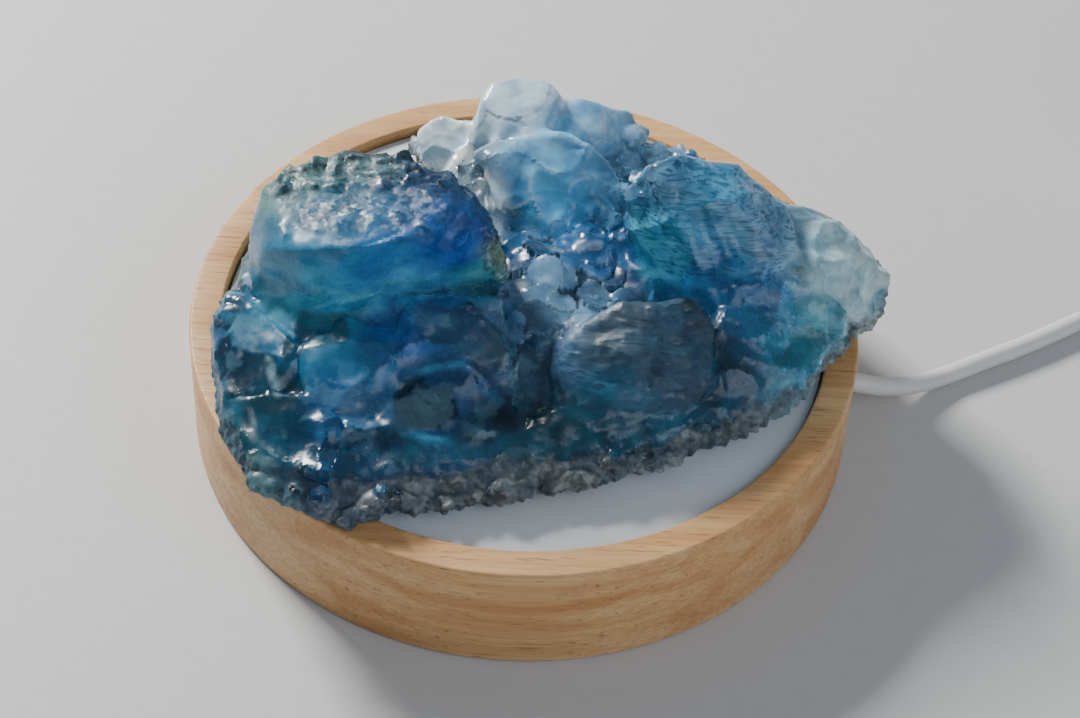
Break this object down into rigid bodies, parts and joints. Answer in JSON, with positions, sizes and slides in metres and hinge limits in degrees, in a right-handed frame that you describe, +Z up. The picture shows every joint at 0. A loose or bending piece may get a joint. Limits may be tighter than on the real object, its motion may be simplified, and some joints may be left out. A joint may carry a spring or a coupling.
{
  "type": "fluorite ornament",
  "caption": "Cluster of translucent blue fluorite crystals grown together, lying across the rim of a round wooden light base with an opal diffuser and a white low-voltage lead.",
  "frame": {"origin": "centre of the wooden base's flat underside", "axes": "+Z up out of the table; +X towards the side the cord leaves, the right side in the picture; +Y away from the picture's viewer"},
  "size_m": [0.2103, 0.1441, 0.0475],
  "materials": {
    "turned_wood": "pale turned hardwood, fine pores, thin matt oil",
    "opal_diffuser": "frosted white acrylic sheet",
    "light_board": "white solder-masked board",
    "light_chip": "yellow phosphor in a white moulded chip, unlit",
    "fluorite": "natural translucent fluorite, blue to teal zones, glassy faces and druzy tops",
    "cord": "soft white PVC sheath, satin",
    "plug_grip": "moulded white PVC, satin",
    "plug_shell": "nickel-plated folded steel",
    "plug_tongue": "moulded white insert"
  },
  "bodies": {
    "root": {"wood_base": "turned_wood", "diffuser": "opal_diffuser", "light_board": "light_board", "light_chip_1": "light_chip", "light_chip_2": "light_chip", "light_chip_3": "light_chip", "light_chip_4": "light_chip", "light_chip_5": "light_chip", "light_chip_6": "light_chip", "light_chip_7": "light_chip", "light_chip_8": "light_chip", "fluorite_cluster": "fluorite", "cord_lead": "cord", "cord_tail": "cord", "cord_coil": "cord", "plug_grip": "plug_grip", "plug_shell": "plug_shell", "plug_tongue": "plug_tongue"}
  },
  "joints": []
}
